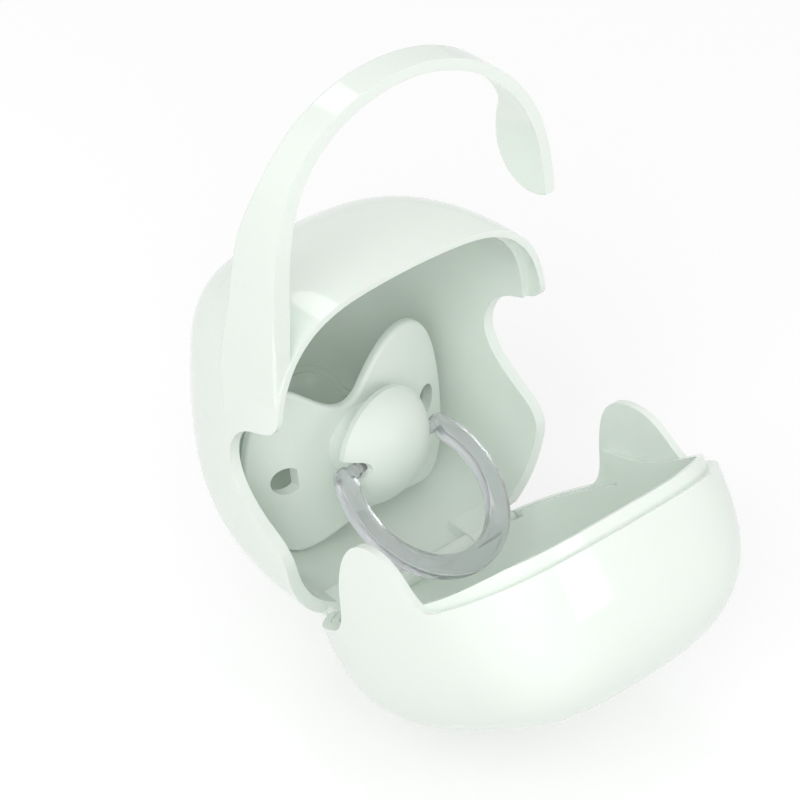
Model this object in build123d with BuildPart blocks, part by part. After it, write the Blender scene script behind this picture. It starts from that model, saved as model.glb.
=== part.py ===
from build123d import *
from math import cos, pi, radians, sin, sqrt
import os

# Pacifier case: an egg-like rounded box cut into a body and a hinged lid along one parting curve.
# A broad hook loop grows out of the body's -X wall, and a pacifier with a swinging ring lies inside.
# Millimetres, +Z up. The opening faces -Y, X = 0 is the middle, Z = 0 is the flat foot.

# outer form: superellipse sections that shrink to the back and to the front
half_width = 35.6
half_height_up = 37.2
half_height_down = 38.5
foot_depth = 1.3
centre_height = half_height_down - foot_depth
top_height = centre_height + half_height_up
corner_power = 3.4
rim_y = -7.0
back_length = 50.4
back_power = 2.4
front_length = 32.4
front_power = 2.8
pole_reach = 0.9985
section_points = 24
section_steps = 9

# walls
body_wall = 2.4
lid_wall = 3.0
rim_skin = 1.3
lip_gap = 0.5
ear_skin = 1.6

# parting curve in side view, from the middle of the rim: nearly straight, with a deep notch in each side
rim_low_ahead = 0.7
rim_low_drop = 19.7
rim_high_behind = 0.8
rim_high_rise = 17.3
rim_lean = 0.05
notch_tip_depth = 15.7
notch_tip_rise = 0.1
notch_lower_depth = 6.6
notch_lower_drop = 11.0
notch_upper_depth = 9.6
notch_upper_rise = 10.2
parting_gap = 0.3

# rabbet in the body's rim and the lid's inner lip that enters it, from the middle of the rim
rabbet_depth = 4.3
lip_low_depth = 6.4
lip_low_drop = 8.2
lip_side_depth = 2.6
lip_side_low = 2.8
lip_side_high = 18.8
lip_top_depth = 4.3
lip_top_rise = 30.8
lip_end_gap = 1.0
lower_edge_step = 0.3

# hinge along the lower rim
hinge_ahead = 2.5
hinge_y = rim_y - hinge_ahead
hinge_z = 2.0
knuckle_radius = 1.9
hinge_half_length = 24.0
lid_knuckle_half = 11.85
knuckle_gap = 0.15
knuckle_clearance = 0.35
edge_radius = 2.15
edge_gap = 0.35
web_length = 6.0
web_drop = 1.5
pin_radius = 0.8
pin_fit = 0.01
pin_running = 0.05
pin_short = 0.3
lid_open_angle = 54.5

# hook loop: its outer curve as places in from one side of the case, heights over its top and thicknesses
hook_near_points = (
    (1.2, -30.4, 4.2),
    (1.0, -13.4, 4.4),
    (1.7, 6.6, 3.9),
    (10.3, 32.6, 3.2),
)
hook_crown_x = -3.0
hook_crown_rise = 42.1
hook_crown_thickness = 2.6
hook_far_points = (
    (16.0, 35.8, 2.4),
    (2.0, 19.6, 2.4),
    (-1.6, 5.6, 2.4),
    (-2.0, -8.4, 2.4),
)

# hook loop's width: how far behind the rim its edges lie, and how far over the top of the case
hook_front_depth = 1.5
hook_split_x = 4.0
hook_crown_depth = 10.6
hook_bend_rise = 33.6
hook_side_depth = 14.0
hook_side_rise = 14.6
hook_flare_depth = 15.5
hook_flare_rise = -0.4
hook_root_depth = 18.0
hook_root_rise = -16.4
paddle_neck_rise = 22.6
paddle_neck_front = 1.8
paddle_neck_back = 10.8
paddle_radius = 8.8
paddle_depth = 7.0
paddle_rise = 7.1
hook_edge_round = 0.6

# pacifier: both of its frames sit on the ring's swing axis, turned, tilted and rolled as it lies
pivot_x = -0.4
pivot_depth = 7.2
pivot_drop = 10.5
shield_turn = 0.0
shield_tilt = 6.0
shield_roll = 3.0
knob_turn = 9.0
knob_tilt = 4.0
knob_roll = -6.5

# shield
shield_front = 7.0
shield_thickness = 2.4
shield_bend = 46.0
shield_side = 25.4
shield_side_height = 4.0
shield_tip_x = 16.5
shield_tip_height = 18.0
shield_dip_top = 12.3
shield_lobe_x = 17.5
shield_rest = 3.94
shield_dip_bottom = 16.4
shield_edge_round = 0.9
vent_x = 18.7
vent_height = -2.6
vent_radius = 3.1
vent_flat = 2.2

# knob
knob_radius = 12.8
knob_dome = 7.5
knob_rim_back = 1.9
knob_rim_thickness = 1.1
neck_radius = 8.4
slot_inner_x = 8.8
slot_half_height = 1.8

# ring
ring_drop_angle = 37.5
ring_outer_radius = 19.9
ring_arm_inset = 1.0
ring_band = 5.0
ring_thickness = 3.2
ring_edge_round = 1.1
ring_top = 1.8
ring_shoulder_round = 2.5
ring_root = 4.0
ring_side_gap = 0.3
ring_stub_clearance = 0.35
ring_pin_radius = 1.0
ring_pin_clearance = 0.06
ring_pin_depth = 2.4
ring_pin_end_gap = 0.3

# nipple and the plug that holds it in the shield
bore_radius = 6.6
fit_gap = 0.05
plug_recess = 0.6
plug_length = 7.4
plug_side_gap = 0.1
nipple_flange_radius = 9.0
nipple_flange = 2.2
nipple_neck_radius = 6.2
nipple_neck_length = 7.0
nipple_bulb_radius = 7.6
nipple_bulb_place = 16.5
nipple_length = 24.0
nipple_wall = 1.4

reach = 150.0


def signed_power(value, power):
    if value < 0:
        return -((-value) ** power)
    return value ** power


def at_rim(behind, above):
    # a place in side view, from the middle of the rim
    return rim_y + behind, centre_height + above


def at_top(behind, above):
    # a place in side view, from the rim at the top of the case
    return rim_y + behind, top_height + above


def egg(inset):
    # the outer form, drawn in by one wall thickness on every side
    stations = [(rim_y, 1.0)]
    for length, power, side in ((back_length, back_power, 1), (front_length, front_power, -1)):
        for step in range(1, section_steps + 1):
            along = pole_reach * sin(step / section_steps * pi / 2)
            shrink = (1 - along ** power) ** (1 / power)
            stations.append((rim_y + side * (length - inset) * along, shrink))
    with BuildPart() as form:
        for station_y, shrink in sorted(stations):
            with BuildSketch(Plane.XZ.offset(-station_y)):
                with BuildLine():
                    points = []
                    for index in range(section_points):
                        turn = 2 * pi * (index + 0.5) / section_points
                        across = signed_power(cos(turn), 2 / corner_power)
                        upward = signed_power(sin(turn), 2 / corner_power)
                        half_height = half_height_up if upward > 0 else half_height_down
                        x = (half_width - inset) * shrink * across
                        z = centre_height + (half_height - inset) * shrink * upward
                        points.append((x, z))
                    Spline(*points, periodic=True)
                make_face()
        loft()
    return form.part


def front_region(gap):
    # everything on the lid's side of the parting curve, drawn back by a gap
    corners = (
        at_rim(-rim_low_ahead, -rim_low_drop),
        at_rim(notch_lower_depth, -notch_lower_drop),
        at_rim(notch_tip_depth, notch_tip_rise),
        at_rim(notch_upper_depth, notch_upper_rise),
        at_rim(rim_high_behind, rim_high_rise),
    )
    ends = ((0, 1), (rim_lean, 1))
    with BuildLine():
        parting = Spline(*corners, tangents=ends)
    drawn_back = []
    for corner in corners:
        sideways = (parting % parting.param_at_point(corner)).rotate(Axis.Z, 90)
        drawn_back.append((corner[0] + gap * sideways.X, corner[1] + gap * sideways.Y))
    with BuildPart() as region:
        with BuildSketch(Plane.YZ.offset(-reach)):
            with BuildLine():
                edge = Spline(*drawn_back, tangents=ends)
                last_y, last_z = drawn_back[-1]
                Polyline(
                    edge @ 1,
                    (last_y + rim_lean * (reach - last_z), reach),
                    (-reach, reach),
                    (-reach, -reach),
                    (drawn_back[0][0], -reach),
                    edge @ 0,
                )
            make_face()
        extrude(amount=2 * reach)
    return region.part


outer_form = egg(0)
skin_form = egg(rim_skin)
lip_form = egg(rim_skin + lip_gap)
body_cavity = egg(body_wall)
lid_cavity = egg(lid_wall)
ear_form = egg(ear_skin)
front_of_body = front_region(0)
front_of_lid = front_region(parting_gap)
os.makedirs("parts", exist_ok=True)

# body and hook, one moulding
hook_points = [(x - half_width, top_height + rise, thickness) for x, rise, thickness in hook_near_points]
hook_points.append((hook_crown_x, top_height + hook_crown_rise, hook_crown_thickness))
hook_points += [(half_width - x, top_height + rise, thickness) for x, rise, thickness in hook_far_points]
hook_front_y = rim_y + hook_front_depth
hook_crown = at_top(hook_crown_depth, hook_bend_rise)
with BuildPart() as hook_band:
    with BuildSketch(Plane.XZ.offset(-reach)):
        with BuildLine():
            outer_points = [(x, z) for x, z, thickness in hook_points]
            outer_edge = Spline(*outer_points)
            inner_points = []
            for x, z, thickness in reversed(hook_points):
                place = outer_edge.param_at_point((x, z))
                inward = (outer_edge % place).rotate(Axis.Z, -90)
                inner_points.append((x + thickness * inward.X, z + thickness * inward.Y))
            inner_edge = Spline(*inner_points)
            Line(outer_edge @ 1, inner_edge @ 0)
            Line(inner_edge @ 1, outer_edge @ 0)
        make_face()
    extrude(amount=2 * reach)

with BuildPart() as hook_outline:
    # the hook's width in side view: the near limb with its root, then the far limb with the paddle
    with BuildSketch(Plane.YZ.offset(-reach)):
        with BuildLine():
            near_back = Spline(
                hook_crown,
                at_top(hook_side_depth, hook_side_rise),
                at_top(hook_flare_depth, hook_flare_rise),
                at_top(hook_root_depth, hook_root_rise),
                tangents=((0, -1), (0, -1)),
            )
            Polyline(
                near_back @ 1,
                (rim_y + hook_root_depth, 0),
                (hook_front_y, 0),
                (hook_front_y, reach),
                (rim_y + hook_crown_depth, reach),
                near_back @ 0,
            )
        make_face()
    extrude(amount=reach + hook_split_x)
    with BuildSketch(Plane.YZ.offset(hook_split_x)):
        with BuildLine():
            far_front = Spline(
                at_top(hook_front_depth, hook_bend_rise),
                at_top(paddle_neck_front, paddle_neck_rise),
                at_top(paddle_depth - paddle_radius, paddle_rise),
                tangents=((0, -1), (0, -1)),
            )
            paddle_tip = ThreePointArc(
                far_front @ 1,
                at_top(paddle_depth, paddle_rise - paddle_radius),
                at_top(paddle_depth + paddle_radius, paddle_rise),
            )
            far_back = Spline(
                paddle_tip @ 1,
                at_top(paddle_neck_back, paddle_neck_rise),
                hook_crown,
                tangents=((0, 1), (0, 1)),
            )
            Polyline(
                far_back @ 1,
                (rim_y + hook_crown_depth, reach),
                (hook_front_y, reach),
                far_front @ 0,
            )
        make_face()
    extrude(amount=reach)

with BuildPart() as hook:
    add(hook_band)
    add(hook_outline, mode=Mode.INTERSECT)
    loop_edges = hook.edges().filter_by(lambda edge: edge.center().Z > top_height + hook_root_rise)
    fillet(loop_edges, hook_edge_round)

with BuildPart() as rabbet:
    # the strip behind the rim where only the outer skin stays
    add(skin_form)
    with BuildSketch(Plane.YZ.offset(-reach)):
        with Locations(at_rim(rim_high_behind + rabbet_depth, -lip_low_drop - lip_end_gap)):
            Rectangle(reach, reach, align=(Align.MAX, Align.MIN))
    extrude(amount=2 * reach, mode=Mode.INTERSECT)

with BuildPart() as below_foot:
    with BuildSketch(Plane.XY.offset(-reach)):
        Rectangle(2 * reach, 2 * reach)
    extrude(amount=reach)

with BuildPart() as body_shell:
    add(outer_form)
    add(hook)
    add(body_cavity, mode=Mode.SUBTRACT)
    add(rabbet, mode=Mode.SUBTRACT)
    add(front_of_body, mode=Mode.SUBTRACT)
    add(below_foot, mode=Mode.SUBTRACT)
    # room for the lid's lower edge as it swings under the hinge
    with BuildSketch(Plane.YZ.offset(-reach)):
        with Locations((hinge_y, hinge_z)):
            Circle(edge_radius + edge_gap)
            Rectangle(edge_radius + edge_gap, reach, align=(Align.MIN, Align.MAX))
    extrude(amount=2 * reach, mode=Mode.SUBTRACT)
    # two knuckles, each joined to the lower wall by a web
    for start_x in (-hinge_half_length, lid_knuckle_half + knuckle_gap):
        with BuildSketch(Plane.YZ.offset(start_x)):
            with Locations((hinge_y, hinge_z)):
                Circle(knuckle_radius)
                Rectangle(web_length, knuckle_radius, align=(Align.MIN, Align.MIN))
            with Locations((hinge_y + web_length, hinge_z)):
                Rectangle(web_length - edge_radius - edge_gap, web_drop, align=(Align.MAX, Align.MAX))
        extrude(amount=hinge_half_length - lid_knuckle_half - knuckle_gap)
    with BuildSketch(Plane.YZ.offset(-reach)):
        with Locations((hinge_y, hinge_z)):
            Circle(pin_radius + pin_fit)
    extrude(amount=2 * reach, mode=Mode.SUBTRACT)
body_shell.part.label = "body_shell"
export_step(body_shell.part, "parts/body_shell.step")

with BuildPart() as lid_front:
    add(outer_form)
    add(front_of_lid, mode=Mode.INTERSECT)

with BuildPart() as lip_region:
    # where the lid has its full wall: in front of the lip's edge
    with BuildSketch(Plane.YZ.offset(-reach)):
        with BuildLine():
            lip_edge = Spline(
                at_rim(lip_low_depth, -lip_low_drop),
                at_rim(lip_side_depth, lip_side_low),
                at_rim(lip_side_depth, lip_side_high),
                at_rim(lip_top_depth, lip_top_rise),
            )
            lower_edge_y = rim_y - rim_low_ahead - parting_gap - lower_edge_step
            Polyline(
                lip_edge @ 1,
                (rim_y + lip_top_depth, reach),
                (-reach, reach),
                (-reach, -reach),
                (lower_edge_y, -reach),
                (lower_edge_y, centre_height - lip_low_drop),
                lip_edge @ 0,
            )
        make_face()
    extrude(amount=2 * reach)

with BuildPart() as behind_lip:
    add(ear_form)
    add(lip_region, mode=Mode.SUBTRACT)

with BuildPart() as lid_closed:
    add(lid_front)
    add(lip_form)
    add(behind_lip, mode=Mode.SUBTRACT)
    add(lid_cavity, mode=Mode.SUBTRACT)
    add(below_foot, mode=Mode.SUBTRACT)
    # the lower edge is rounded about the hinge axis
    with BuildSketch(Plane.YZ.offset(-reach)):
        with Locations((hinge_y, hinge_z)):
            Rectangle(reach, reach, align=(Align.MIN, Align.MAX))
            Circle(edge_radius, mode=Mode.SUBTRACT)
    extrude(amount=2 * reach, mode=Mode.SUBTRACT)
    # room for the body's knuckles
    for start_x in (-hinge_half_length - knuckle_gap, lid_knuckle_half):
        with BuildSketch(Plane.YZ.offset(start_x)):
            with Locations((hinge_y, hinge_z)):
                Circle(knuckle_radius + knuckle_clearance)
                Rectangle(web_length, 2 * web_length, align=(Align.MIN, Align.CENTER))
        extrude(amount=hinge_half_length + knuckle_gap - lid_knuckle_half, mode=Mode.SUBTRACT)
    with BuildSketch(Plane.YZ.offset(-lid_knuckle_half)):
        with Locations((hinge_y, hinge_z)):
            Circle(knuckle_radius)
    extrude(amount=2 * lid_knuckle_half)
    with BuildSketch(Plane.YZ.offset(-reach)):
        with Locations((hinge_y, hinge_z)):
            Circle(pin_radius + pin_running)
    extrude(amount=2 * reach, mode=Mode.SUBTRACT)

hinge_axis = Axis((0, hinge_y, hinge_z), (1, 0, 0))
with BuildPart() as lid_shell:
    add(lid_closed.part.rotate(hinge_axis, lid_open_angle))
lid_shell.part.label = "lid_shell"
export_step(lid_shell.part, "parts/lid_shell.step")

with BuildPart() as hinge_pin:
    with BuildSketch(Plane.YZ.offset(pin_short - hinge_half_length)):
        with Locations((hinge_y, hinge_z)):
            Circle(pin_radius)
    extrude(amount=2 * (hinge_half_length - pin_short))
hinge_pin.part.label = "hinge_pin"
export_step(hinge_pin.part, "parts/hinge_pin.step")

pivot = Vector(pivot_x, *at_rim(pivot_depth, -pivot_drop))


def directions(turn_angle, tilt_angle, roll_angle):
    # forward, swing axis and upward of a piece that lies turned, tilted and rolled
    turn = radians(turn_angle)
    tilt = radians(tilt_angle)
    roll = radians(roll_angle)
    forward = Vector(sin(turn) * cos(tilt), -cos(turn) * cos(tilt), sin(tilt))
    level = Vector(cos(turn), sin(turn), 0)
    across = level * cos(roll) + forward.cross(level) * sin(roll)
    return forward, across, forward.cross(across)


shield_forward, shield_across, shield_upward = directions(shield_turn, shield_tilt, shield_roll)
shield_plane = Plane(origin=pivot, x_dir=shield_across, z_dir=shield_forward)
shield_top_plane = Plane(origin=pivot, x_dir=shield_across, z_dir=shield_upward)
shield_turning_plane = Plane(origin=pivot, x_dir=shield_across, z_dir=-shield_upward)
shield_axis = Axis(pivot, shield_forward)

# the lobes end just over the floor of the body
lobe_share = 1 - (shield_lobe_x / (half_width - body_wall)) ** corner_power
floor_under_lobe = centre_height - (half_height_down - body_wall) * lobe_share ** (1 / corner_power)
shield_lobe_drop = pivot.Z - floor_under_lobe - shield_rest

with BuildPart() as pacifier_shield:
    with BuildSketch(shield_plane.offset(-shield_front - shield_bend)):
        with BuildLine():
            right_half = [
                (shield_tip_x, shield_tip_height),
                (shield_side, shield_side_height),
                (shield_lobe_x, -shield_lobe_drop),
            ]
            left_half = [(-x, y) for x, y in reversed(right_half)]
            Spline(
                (0, shield_dip_top),
                *right_half,
                (0, -shield_dip_bottom),
                *left_half,
                periodic=True,
            )
        make_face()
    extrude(amount=shield_bend)
    with BuildSketch(shield_top_plane.offset(-reach)):
        with Locations((0, shield_front + shield_bend)):
            Circle(shield_bend)
            Circle(shield_bend - shield_thickness, mode=Mode.SUBTRACT)
    extrude(amount=2 * reach, mode=Mode.INTERSECT)
    fillet(pacifier_shield.edges(), shield_edge_round)
    with BuildSketch(shield_plane.offset(-shield_front - shield_bend)):
        Circle(bore_radius)
        for side in (-1, 1):
            with Locations((side * vent_x, vent_height)):
                Circle(vent_radius)
            with Locations((side * (vent_x - vent_flat), vent_height)):
                flat_edge = Align.MAX if side > 0 else Align.MIN
                Rectangle(vent_radius, 2 * vent_radius, align=(flat_edge, Align.CENTER), mode=Mode.SUBTRACT)
    extrude(amount=shield_bend, mode=Mode.SUBTRACT)
pacifier_shield.part.label = "pacifier_shield"
export_step(pacifier_shield.part, "parts/pacifier_shield.step")

knob_forward, swing, knob_upward = directions(knob_turn, knob_tilt, knob_roll)
knob_plane = Plane(origin=pivot, x_dir=swing, z_dir=knob_forward)
knob_turning_plane = Plane(origin=pivot, x_dir=swing, z_dir=-knob_upward)
swing_plane = Plane(origin=pivot, x_dir=knob_forward, z_dir=swing)
knob_axis = Axis(pivot, knob_forward)

with BuildPart() as pacifier_knob:
    dome_radius = (knob_radius ** 2 + knob_dome ** 2) / (2 * knob_dome)
    dome_mid_x = knob_radius / 2
    dome_mid_y = sqrt(dome_radius ** 2 - dome_mid_x ** 2) - (dome_radius - knob_dome) - knob_rim_back
    with BuildSketch(knob_turning_plane):
        with BuildLine():
            Polyline(
                (0, knob_dome - knob_rim_back),
                (0, -shield_front - shield_thickness),
                (neck_radius, -shield_front - shield_thickness),
                (neck_radius, -knob_rim_back - knob_rim_thickness),
                (knob_radius, -knob_rim_back - knob_rim_thickness),
                (knob_radius, -knob_rim_back),
            )
            ThreePointArc(
                (knob_radius, -knob_rim_back),
                (dome_mid_x, dome_mid_y),
                (0, knob_dome - knob_rim_back),
            )
        make_face()
    revolve(axis=knob_axis)
    # the neck ends on the curved front of the shield
    with BuildSketch(shield_top_plane.offset(-reach)):
        with Locations((0, shield_front + shield_bend)):
            Circle(shield_bend + fit_gap)
    extrude(amount=2 * reach, mode=Mode.SUBTRACT)
    # one open slot and one blind pin socket on each side
    for side in (-1, 1):
        with BuildSketch(knob_plane.offset(-shield_front)):
            with Locations((side * (slot_inner_x + slot_half_height), 0)):
                Circle(slot_half_height)
                slot_side = Align.MIN if side > 0 else Align.MAX
                Rectangle(knob_radius, 2 * slot_half_height, align=(slot_side, Align.CENTER))
        extrude(amount=shield_front + knob_dome, mode=Mode.SUBTRACT)
        with BuildSketch(swing_plane.offset(side * (slot_inner_x + slot_half_height))):
            Circle(ring_pin_radius + ring_pin_clearance)
        extrude(
            amount=-side * (slot_half_height + ring_pin_depth + ring_pin_end_gap),
            mode=Mode.SUBTRACT,
        )
pacifier_knob.part.label = "pacifier_knob"
export_step(pacifier_knob.part, "parts/pacifier_knob.step")

drop = radians(ring_drop_angle)
ring_way = knob_forward * cos(drop) - knob_upward * sin(drop)
ring_plane = Plane(origin=pivot, x_dir=swing, z_dir=swing.cross(ring_way))
# the middle of the band meets the swing axis just outside the knob
arm_x = knob_radius + ring_side_gap
ring_centre = sqrt((ring_outer_radius - ring_band / 2) ** 2 - (arm_x + ring_arm_inset) ** 2)
with BuildPart() as pacifier_ring:
    with BuildSketch(ring_plane.offset(-ring_thickness / 2)) as ring_face:
        with Locations((0, ring_centre)):
            Circle(ring_outer_radius)
            Circle(ring_outer_radius - ring_band, mode=Mode.SUBTRACT)
        with Locations((0, -ring_top)):
            Rectangle(reach, reach, align=(Align.CENTER, Align.MAX), mode=Mode.SUBTRACT)
        with Locations((0, ring_root)):
            Rectangle(2 * arm_x, reach, align=(Align.CENTER, Align.MAX), mode=Mode.SUBTRACT)
        shoulders = ring_face.vertices().sort_by(Axis.Y)[0:4].sort_by(Axis.X)
        fillet([shoulders[0], shoulders[-1]], ring_shoulder_round)
    extrude(amount=ring_thickness)
    fillet(pacifier_ring.edges(), ring_edge_round)
    for side in (-1, 1):
        with BuildSketch(swing_plane.offset(side * (slot_inner_x + slot_half_height))):
            Circle(slot_half_height - ring_stub_clearance)
        extrude(amount=side * (arm_x - slot_inner_x))
        with BuildSketch(swing_plane.offset(side * (slot_inner_x - ring_pin_depth))):
            Circle(ring_pin_radius)
        extrude(amount=side * (ring_pin_depth + 2 * slot_half_height))
pacifier_ring.part.label = "pacifier_ring"
export_step(pacifier_ring.part, "parts/pacifier_ring.step")

shield_back = shield_front + shield_thickness
with BuildPart() as pacifier_nipple:
    with BuildSketch(shield_turning_plane):
        for wall, mode in ((0, Mode.ADD), (nipple_wall, Mode.SUBTRACT)):
            neck = nipple_neck_radius - wall
            bulb = nipple_bulb_radius - wall
            tip = shield_back + nipple_length - wall
            with BuildLine():
                profile = Spline(
                    (neck, -shield_back - nipple_neck_length),
                    (bulb, -shield_back - nipple_bulb_place),
                    (0, -tip),
                    tangents=((0, -1), (-1, 0)),
                )
                Polyline(profile @ 1, (0, 0), (neck, 0), profile @ 0)
            make_face(mode=mode)
    revolve(axis=shield_axis)
    with BuildSketch(shield_turning_plane):
        with Locations((nipple_neck_radius - nipple_wall, -shield_back - nipple_flange)):
            Rectangle(
                nipple_flange_radius - nipple_neck_radius + nipple_wall,
                nipple_flange,
                align=(Align.MIN, Align.MIN),
            )
    revolve(axis=shield_axis)
    with BuildSketch(shield_top_plane.offset(-reach)):
        with Locations((0, shield_front + shield_bend)):
            Circle(shield_bend - shield_thickness - fit_gap)
    extrude(amount=2 * reach, mode=Mode.INTERSECT)
pacifier_nipple.part.label = "pacifier_nipple"
export_step(pacifier_nipple.part, "parts/pacifier_nipple.step")

with BuildPart() as pacifier_plug:
    with BuildSketch(shield_plane.offset(-shield_front - plug_recess)):
        Circle(bore_radius - fit_gap)
    extrude(amount=plug_recess + fit_gap - shield_thickness)
    with BuildSketch(shield_plane.offset(-shield_front - plug_recess)):
        Circle(nipple_neck_radius - nipple_wall - plug_side_gap)
    extrude(amount=-plug_length)
pacifier_plug.part.label = "pacifier_plug"
export_step(pacifier_plug.part, "parts/pacifier_plug.step")
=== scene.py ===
import bpy
from bpy.props import FloatProperty, FloatVectorProperty, PointerProperty
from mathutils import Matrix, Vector


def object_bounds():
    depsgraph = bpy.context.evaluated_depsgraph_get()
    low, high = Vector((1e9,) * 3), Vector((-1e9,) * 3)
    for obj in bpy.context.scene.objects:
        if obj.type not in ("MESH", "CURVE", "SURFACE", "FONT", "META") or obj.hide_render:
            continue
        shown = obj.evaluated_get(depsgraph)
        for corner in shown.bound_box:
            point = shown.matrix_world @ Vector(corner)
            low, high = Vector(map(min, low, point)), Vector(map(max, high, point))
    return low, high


bl_info = {
    "name": "Pacifier case",
    "version": (1, 0, 0),
    "blender": (4, 5, 0),
    "location": "View3D > Sidebar > Pacifier case",
    "description": "A rounded pacifier case with a hinged lid, a hook loop and the pacifier inside",
    "category": "Object",
}

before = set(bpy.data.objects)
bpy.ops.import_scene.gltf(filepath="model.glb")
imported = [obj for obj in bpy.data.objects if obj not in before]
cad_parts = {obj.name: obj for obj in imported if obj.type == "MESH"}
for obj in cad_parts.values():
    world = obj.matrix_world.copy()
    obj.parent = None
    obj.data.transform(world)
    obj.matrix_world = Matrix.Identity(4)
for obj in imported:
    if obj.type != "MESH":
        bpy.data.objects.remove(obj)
CAD_BOX = [list(corner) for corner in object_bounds()]

WHITE = (1.0, 1.0, 1.0, 1.0)
WORN_EDGE_COLOUR = (0.93, 0.97, 0.94, 1.0)
WORN_EDGE_START = 0.52
WORN_EDGE_FULL = 0.62
MOTTLE_DETAIL = 3.0
GLOSS_MOTTLE = 1.5
GRAIN_DETAIL = 2.0
GRAIN_STRENGTH = 0.1
PLASTIC_IOR = 1.49
# Close to 1, so that the soft clear wall hardly bends what is seen through it.
CLEAR_SILICONE_IOR = 1.01
FLOOR_COLOUR = (0.74, 0.74, 0.74, 1.0)
FLOOR_ROUGHNESS = 0.9
KEY_PLACE = (-0.64, -0.50, 0.54)
KEY_WIDTH = 0.8
FRONT_PLACE = (0.26, -0.92, 0.30)
FRONT_WIDTH = 0.3
BACK_PLACE = (0.07, 0.72, 0.86)
BACK_WIDTH = 0.32
SENSOR_WIDTH = 36.0
NEAREST_SEEN = 0.01


class CaseFinish(bpy.types.PropertyGroup):
    """Colours and gloss of the mouldings"""

    case_colour: FloatVectorProperty(
        name="Case", description="Pale mint plastic of the case and lid",
        subtype="COLOR", min=0.0, max=1.0, default=(0.875, 0.945, 0.88),
    )
    case_roughness: FloatProperty(
        name="Case roughness", description="Gloss of the case and lid", default=0.09, min=0.0, max=1.0,
    )
    shield_colour: FloatVectorProperty(
        name="Pacifier", description="Mint plastic of the shield, knob and plug",
        subtype="COLOR", min=0.0, max=1.0, default=(0.865, 0.93, 0.87),
    )
    shield_roughness: FloatProperty(
        name="Pacifier roughness", description="Satin of the shield and knob", default=0.34, min=0.0, max=1.0,
    )
    ring_colour: FloatVectorProperty(
        name="Ring", description="Clear smoky grey plastic of the swinging ring",
        subtype="COLOR", min=0.0, max=1.0, default=(0.79, 0.81, 0.83),
    )
    ring_roughness: FloatProperty(
        name="Ring roughness", description="Gloss of the ring", default=0.06, min=0.0, max=1.0,
    )
    nipple_colour: FloatVectorProperty(
        name="Nipple", description="Clear silicone",
        subtype="COLOR", min=0.0, max=1.0, default=(0.99, 0.995, 0.99),
    )
    steel_colour: FloatVectorProperty(
        name="Pin", description="Drawn steel of the hinge pin",
        subtype="COLOR", min=0.0, max=1.0, default=(0.55, 0.56, 0.57),
    )


class StageSettings(bpy.types.PropertyGroup):
    """Camera, floor and lamps"""

    camera_place: FloatVectorProperty(
        name="Camera", description="Where the camera stands",
        subtype="TRANSLATION", unit="LENGTH", default=(-0.362903, -0.410454, 0.447108),
    )
    camera_aim: FloatVectorProperty(
        name="Aim", description="The point in the middle of the picture, at which the lamps look too",
        subtype="TRANSLATION", unit="LENGTH", default=(0.009843, 0.009232, 0.028869),
    )
    lens: FloatProperty(
        name="Lens", description="Focal length on a 36 mm sensor", default=155.54, min=10.0,
    )
    floor_size: FloatProperty(
        name="Floor", description="Width of the pale floor", default=6.0, unit="LENGTH",
    )
    floor_drop: FloatProperty(
        name="Floor drop", description="How far the floor lies under the open lid, which swings lower still",
        default=0.0118, min=0.0, unit="LENGTH",
    )
    floor_glow: FloatProperty(
        name="Floor glow", description="What the camera sees of the floor beside its lit colour",
        default=0.34, min=0.0, max=1.0,
    )
    key_power: FloatProperty(
        name="Key", description="Power of the large soft lamp on the left", default=3.8,
    )
    fill_power: FloatProperty(
        name="Front", description="Power of the soft lamp in front", default=0.75,
    )
    top_power: FloatProperty(
        name="Back", description="Power of the round lamp behind, which gives the spot on the top",
        default=0.6,
    )
    world_level: FloatProperty(
        name="World", description="Level of the light from all round", default=0.7,
    )


def new_group(name, inputs, outputs):
    group = bpy.data.node_groups.new(name, "ShaderNodeTree")
    for label, kind, default in inputs:
        socket = group.interface.new_socket(name=label, in_out="INPUT", socket_type=kind)
        socket.default_value = default
    for label, kind in outputs:
        group.interface.new_socket(name=label, in_out="OUTPUT", socket_type=kind)
    return group, group.nodes.new("NodeGroupInput"), group.nodes.new("NodeGroupOutput")


def reckon(tree, operation, *terms):
    """A Math node on sockets and plain numbers, in their order"""
    node = tree.nodes.new("ShaderNodeMath")
    node.operation = operation
    for place, term in enumerate(terms):
        if isinstance(term, bpy.types.NodeSocket):
            tree.links.new(term, node.inputs[place])
        else:
            node.inputs[place].default_value = term
    return node.outputs[0]


def noise(tree, detail, scale):
    """Noise fixed to the piece, with its scale from a socket"""
    place = tree.nodes.new("ShaderNodeTexCoord")
    node = tree.nodes.new("ShaderNodeTexNoise")
    node.inputs["Detail"].default_value = detail
    tree.links.new(place.outputs["Object"], node.inputs["Vector"])
    tree.links.new(scale, node.inputs["Scale"])
    return node.outputs["Fac"]


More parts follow.
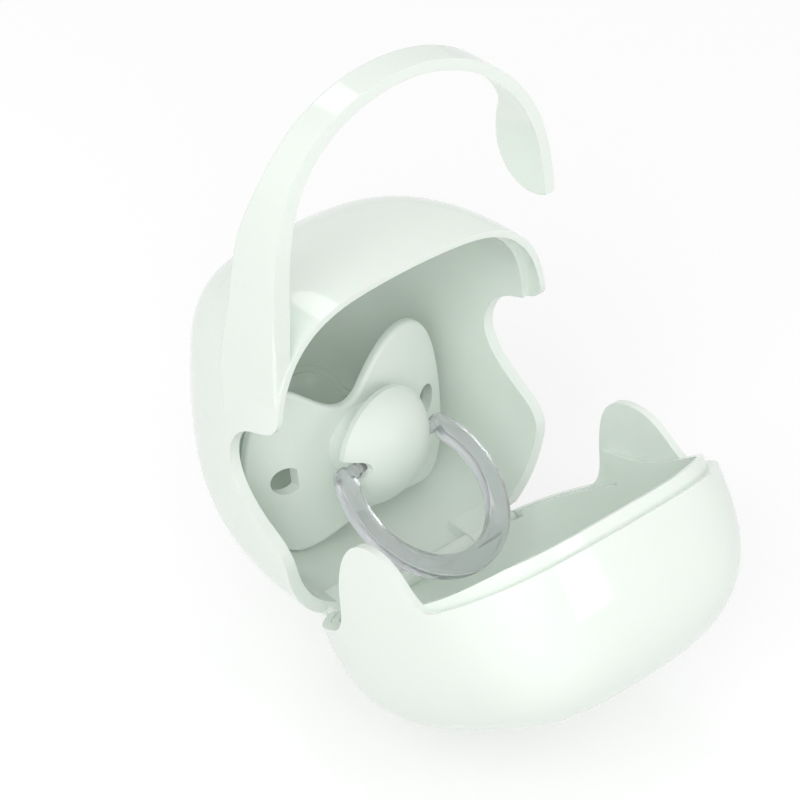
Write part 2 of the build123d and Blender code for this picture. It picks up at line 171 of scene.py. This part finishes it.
def moulded_group():
    """Slow mottling of the colour and gloss, a fine moulded grain and edges worn a little paler"""
    name = "Moulded plastic"
    if name in bpy.data.node_groups:
        return bpy.data.node_groups[name]
    group, given, put = new_group(
        name,
        (
            ("Colour", "NodeSocketColor", (0.8, 0.9, 0.8, 1.0)),
            ("Roughness", "NodeSocketFloat", 0.2),
            ("Mottle", "NodeSocketFloat", 0.03),
            ("Mottle Scale", "NodeSocketFloat", 60.0),
            ("Grain Scale", "NodeSocketFloat", 2500.0),
            ("Edge Wear", "NodeSocketFloat", 0.15),
        ),
        (
            ("Colour", "NodeSocketColor"),
            ("Roughness", "NodeSocketFloat"),
            ("Height", "NodeSocketFloat"),
        ),
    )
    nodes, links = group.nodes, group.links
    slow = noise(group, MOTTLE_DETAIL, given.outputs["Mottle Scale"])
    centred = reckon(group, "SUBTRACT", slow, 0.5)
    amount = reckon(group, "MULTIPLY", centred, given.outputs["Mottle"])
    tinted = nodes.new("ShaderNodeHueSaturation")
    links.new(given.outputs["Colour"], tinted.inputs["Color"])
    links.new(reckon(group, "ADD", amount, 1.0), tinted.inputs["Value"])
    shape = nodes.new("ShaderNodeNewGeometry")
    edges = nodes.new("ShaderNodeMapRange")
    edges.inputs["From Min"].default_value = WORN_EDGE_START
    edges.inputs["From Max"].default_value = WORN_EDGE_FULL
    links.new(shape.outputs["Pointiness"], edges.inputs["Value"])
    worn = reckon(group, "MULTIPLY", edges.outputs["Result"], given.outputs["Edge Wear"])
    paler = nodes.new("ShaderNodeMix")
    paler.data_type = "RGBA"
    paler.inputs["B"].default_value = WORN_EDGE_COLOUR
    links.new(worn, paler.inputs["Factor"])
    links.new(tinted.outputs["Color"], paler.inputs["A"])
    links.new(paler.outputs["Result"], put.inputs["Colour"])
    rougher = reckon(group, "MULTIPLY_ADD", amount, GLOSS_MOTTLE, given.outputs["Roughness"])
    links.new(rougher, put.inputs["Roughness"])
    links.new(noise(group, GRAIN_DETAIL, given.outputs["Grain Scale"]), put.inputs["Height"])
    return group


def moulded_material(name, colour, roughness, mottle, grain_height, wear, **constants):
    """The moulded effect on a shader whose other sockets hold plain constants"""
    material = bpy.data.materials.new(name)
    material.use_nodes = True
    nodes, links = material.node_tree.nodes, material.node_tree.links
    shader = nodes["Principled BSDF"]
    effect = nodes.new("ShaderNodeGroup")
    effect.node_tree = moulded_group()
    effect.inputs["Colour"].default_value = (*colour, 1.0)
    effect.inputs["Roughness"].default_value = roughness
    effect.inputs["Mottle"].default_value = mottle
    effect.inputs["Edge Wear"].default_value = wear
    links.new(effect.outputs["Colour"], shader.inputs["Base Color"])
    links.new(effect.outputs["Roughness"], shader.inputs["Roughness"])
    bump = nodes.new("ShaderNodeBump")
    bump.inputs["Strength"].default_value = GRAIN_STRENGTH
    bump.inputs["Distance"].default_value = grain_height
    links.new(effect.outputs["Height"], bump.inputs["Height"])
    links.new(bump.outputs["Normal"], shader.inputs["Normal"])
    shader.inputs["IOR"].default_value = PLASTIC_IOR
    for socket, value in constants.items():
        shader.inputs[socket].default_value = value
    return material


def case_material(finish):
    return moulded_material(
        "Mint case plastic", finish.case_colour, finish.case_roughness,
        mottle=0.03, grain_height=0.00002, wear=0.15,
        **{
            "Subsurface Weight": 0.15,
            "Subsurface Radius": (0.6, 1.0, 0.7),
            "Subsurface Scale": 0.002,
        },
    )


def shield_material(finish):
    return moulded_material(
        "Mint pacifier plastic", finish.shield_colour, finish.shield_roughness,
        mottle=0.04, grain_height=0.00003, wear=0.25,
    )


def ring_material(finish):
    return moulded_material(
        "Smoky ring plastic", finish.ring_colour, finish.ring_roughness,
        mottle=0.06, grain_height=0.00001, wear=0.1,
        **{"Transmission Weight": 0.75},
    )


def nipple_material(finish):
    return moulded_material(
        "Clear silicone", finish.nipple_colour, roughness=0.12,
        mottle=0.03, grain_height=0.00001, wear=0.0,
        **{"Transmission Weight": 1.0, "IOR": CLEAR_SILICONE_IOR},
    )


def steel_material(finish):
    return moulded_material(
        "Drawn steel", finish.steel_colour, roughness=0.3,
        mottle=0.1, grain_height=0.00002, wear=0.0,
        Metallic=1.0,
    )


def dress(material, *nodes):
    """Puts one material on carried-over nodes"""
    for node in nodes:
        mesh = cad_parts[node].data
        mesh.materials.clear()
        mesh.materials.append(material)


class CASE_OT_shell(bpy.types.Operator):
    """Finishes the body with its hook and the lid"""

    bl_idname = "pacifier_case.shell"
    bl_label = "Case and lid"

    def execute(self, context):
        dress(case_material(context.scene.case_finish), "body_shell", "lid_shell")
        return {"FINISHED"}


class CASE_OT_pin(bpy.types.Operator):
    """Finishes the hinge pin"""

    bl_idname = "pacifier_case.pin"
    bl_label = "Hinge pin"

    def execute(self, context):
        dress(steel_material(context.scene.case_finish), "hinge_pin")
        return {"FINISHED"}


class CASE_OT_pacifier(bpy.types.Operator):
    """Finishes the pacifier's shield, knob, plug, ring and nipple"""

    bl_idname = "pacifier_case.pacifier"
    bl_label = "Pacifier"

    def execute(self, context):
        finish = context.scene.case_finish
        dress(shield_material(finish), "pacifier_shield", "pacifier_knob", "pacifier_plug")
        dress(ring_material(finish), "pacifier_ring")
        dress(nipple_material(finish), "pacifier_nipple")
        return {"FINISHED"}


def seen_white(tree):
    """One where a camera, mirror or glass ray looks, so that all of them see the white background"""
    rays = tree.nodes.new("ShaderNodeLightPath")
    either = reckon(tree, "MAXIMUM", rays.outputs["Is Camera Ray"], rays.outputs["Is Glossy Ray"])
    return reckon(tree, "MAXIMUM", either, rays.outputs["Is Transmission Ray"])


def floor_material(glow):
    """White floor that keeps its shadows and adds a plain level where it is seen"""
    material = bpy.data.materials.new("White floor")
    material.use_nodes = True
    tree = material.node_tree
    shader = tree.nodes["Principled BSDF"]
    shader.inputs["Base Color"].default_value = FLOOR_COLOUR
    shader.inputs["Roughness"].default_value = FLOOR_ROUGHNESS
    shader.inputs["Specular IOR Level"].default_value = 0.0
    shader.inputs["Emission Color"].default_value = WHITE
    level = reckon(tree, "MULTIPLY", seen_white(tree), glow)
    tree.links.new(level, shader.inputs["Emission Strength"])
    return material


def lay_floor(stage):
    """One square under the lowest place that the lid swings to"""
    half = stage.floor_size / 2
    height = CAD_BOX[0][2] - stage.floor_drop
    corners = [(-half, -half, height), (half, -half, height), (half, half, height), (-half, half, height)]
    mesh = bpy.data.meshes.new("floor")
    mesh.from_pydata(corners, [], [(0, 1, 2, 3)])
    mesh.materials.append(floor_material(stage.floor_glow))
    floor = bpy.data.objects.new("floor", mesh)
    bpy.context.scene.collection.objects.link(floor)


def light_world(stage):
    """Soft light from all round that is seen as white"""
    world = bpy.data.worlds.new("White surround")
    bpy.context.scene.world = world
    world.use_nodes = True
    tree = world.node_tree
    background = tree.nodes["Background"]
    background.inputs["Color"].default_value = WHITE
    strength = tree.nodes.new("ShaderNodeMapRange")
    strength.inputs["To Min"].default_value = stage.world_level
    strength.inputs["To Max"].default_value = 1.0
    tree.links.new(seen_white(tree), strength.inputs["Value"])
    tree.links.new(strength.outputs["Result"], background.inputs["Strength"])


def look_at(thing, place, aim):
    thing.location = place
    thing.rotation_euler = (Vector(aim) - Vector(place)).to_track_quat("-Z", "Y").to_euler()


def soft_lamp(name, shape, place, aim, width, power):
    light = bpy.data.lights.new(name, "AREA")
    light.shape = shape
    light.size = width
    light.energy = power
    lamp = bpy.data.objects.new(name, light)
    look_at(lamp, place, aim)
    bpy.context.scene.collection.objects.link(lamp)
    return lamp


def hang_lamps(stage):
    """The key lamp leaves no reflection, and the other two give the highlights on the lid and the top"""
    aim = stage.camera_aim
    key = soft_lamp("key lamp", "SQUARE", KEY_PLACE, aim, KEY_WIDTH, stage.key_power)
    key.visible_glossy = False
    soft_lamp("front lamp", "SQUARE", FRONT_PLACE, aim, FRONT_WIDTH, stage.fill_power)
    soft_lamp("round back lamp", "DISK", BACK_PLACE, aim, BACK_WIDTH, stage.top_power)


def set_camera(stage):
    camera = bpy.data.cameras.new("camera")
    camera.lens = stage.lens
    camera.sensor_width = SENSOR_WIDTH
    camera.clip_start = NEAREST_SEEN
    viewer = bpy.data.objects.new("camera", camera)
    look_at(viewer, stage.camera_place, stage.camera_aim)
    bpy.context.scene.collection.objects.link(viewer)
    bpy.context.scene.camera = viewer


class CASE_OT_stage(bpy.types.Operator):
    """Sets the floor, the white surround, the lamps and the camera"""

    bl_idname = "pacifier_case.stage"
    bl_label = "Stage"

    def execute(self, context):
        stage = context.scene.case_stage
        context.scene.view_settings.view_transform = "Standard"
        lay_floor(stage)
        light_world(stage)
        hang_lamps(stage)
        set_camera(stage)
        return {"FINISHED"}


class CASE_PT_panel(bpy.types.Panel):
    """Sizes, colours and steps of the pacifier case"""

    bl_idname = "CASE_PT_panel"
    bl_label = "Pacifier case"
    bl_space_type = "VIEW_3D"
    bl_region_type = "UI"
    bl_category = "Pacifier case"

    def draw(self, context):
        layout = self.layout
        for settings in (context.scene.case_finish, context.scene.case_stage):
            column = layout.column(align=True)
            for prop in settings.bl_rna.properties:
                if prop.identifier not in ("rna_type", "name"):
                    column.prop(settings, prop.identifier)
        for operator in OPERATORS:
            layout.operator(operator.bl_idname)


OPERATORS = (CASE_OT_shell, CASE_OT_pin, CASE_OT_pacifier, CASE_OT_stage)
CLASSES = (CaseFinish, StageSettings, *OPERATORS, CASE_PT_panel)


def register():
    for cls in CLASSES:
        bpy.utils.register_class(cls)
    bpy.types.Scene.case_finish = PointerProperty(type=CaseFinish)
    bpy.types.Scene.case_stage = PointerProperty(type=StageSettings)


def unregister():
    del bpy.types.Scene.case_stage
    del bpy.types.Scene.case_finish
    for cls in reversed(CLASSES):
        bpy.utils.unregister_class(cls)


def main():
    register()
    bpy.ops.pacifier_case.shell()
    bpy.ops.pacifier_case.pin()
    bpy.ops.pacifier_case.pacifier()
    bpy.ops.pacifier_case.stage()


if __name__ == "__main__":
    main()
